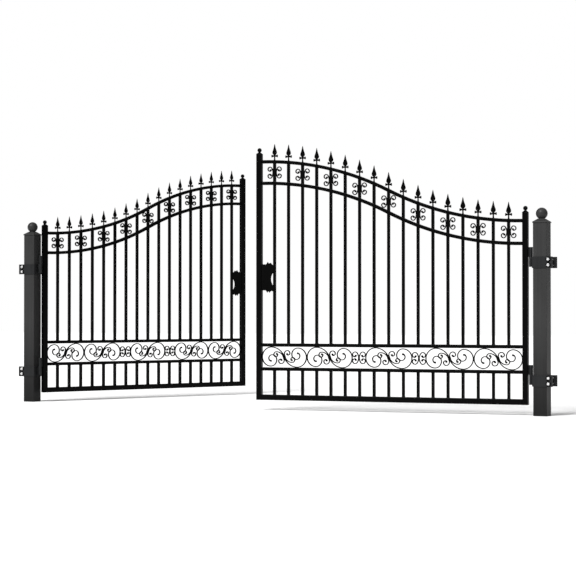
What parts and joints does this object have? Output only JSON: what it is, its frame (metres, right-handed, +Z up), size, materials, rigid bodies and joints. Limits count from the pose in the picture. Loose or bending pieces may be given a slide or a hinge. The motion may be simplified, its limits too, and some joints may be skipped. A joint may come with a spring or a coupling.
{
  "type": "double swing driveway gate",
  "caption": "Pair of arched swing leaves with spear points, scrollwork bands and pickets, hung on square posts by clamp-on barrel hinges to close a driveway.",
  "frame": {"origin": "middle of the left post's foot, at ground level", "axes": "+X from the left post to the right post, +Y the side that the leaves open towards, +Z up"},
  "size_m": [4.562, 2.1584, 1.9986],
  "materials": {
    "leaf_black": "satin black powder coat",
    "post_charcoal": "satin charcoal powder coat",
    "hinge_charcoal": "satin dark grey paint over steel strip"
  },
  "bodies": {
    "posts": {"left_lower_hinge_clamp": "hinge_charcoal", "left_post": "post_charcoal", "left_upper_hinge_clamp": "hinge_charcoal", "post_caps": "post_charcoal", "right_lower_hinge_clamp": "hinge_charcoal", "right_post": "post_charcoal", "right_upper_hinge_clamp": "hinge_charcoal"},
    "left_leaf": {"left_arch_c_scrolls": "leaf_black", "left_band_bottom_rail": "leaf_black", "left_band_c_scrolls": "leaf_black", "left_band_s_scrolls": "leaf_black", "left_band_top_rail": "leaf_black", "left_bottom_rail": "leaf_black", "left_hinge_stile": "leaf_black", "left_lock_plate": "leaf_black", "left_lower_arch_rail": "leaf_black", "left_lower_hinge_knuckle": "leaf_black", "left_meeting_stile": "leaf_black", "left_pickets": "leaf_black", "left_spear_points": "leaf_black", "left_stile_finials": "leaf_black", "left_upper_arch_rail": "leaf_black", "left_upper_hinge_knuckle": "leaf_black"},
    "right_leaf": {"right_arch_c_scrolls": "leaf_black", "right_band_bottom_rail": "leaf_black", "right_band_c_scrolls": "leaf_black", "right_band_s_scrolls": "leaf_black", "right_band_top_rail": "leaf_black", "right_bottom_rail": "leaf_black", "right_hinge_stile": "leaf_black", "right_lock_plate": "leaf_black", "right_lower_arch_rail": "leaf_black", "right_lower_hinge_knuckle": "leaf_black", "right_meeting_stile": "leaf_black", "right_pickets": "leaf_black", "right_spear_points": "leaf_black", "right_stile_finials": "leaf_black", "right_upper_arch_rail": "leaf_black", "right_upper_hinge_knuckle": "leaf_black"}
  },
  "joints": [
    {"name": "left_leaf_swing", "type": "hinge", "parent": "posts", "child": "left_leaf", "pos_m": [0.081, 0, 0.288], "axis": [0, 0, 1], "range_deg": [-71.5, 24.5]},
    {"name": "right_leaf_swing", "type": "hinge", "parent": "posts", "child": "right_leaf", "pos_m": [4.291, 0, 0.288], "axis": [0, 0, -1], "range_deg": [0, 96]}
  ]
}
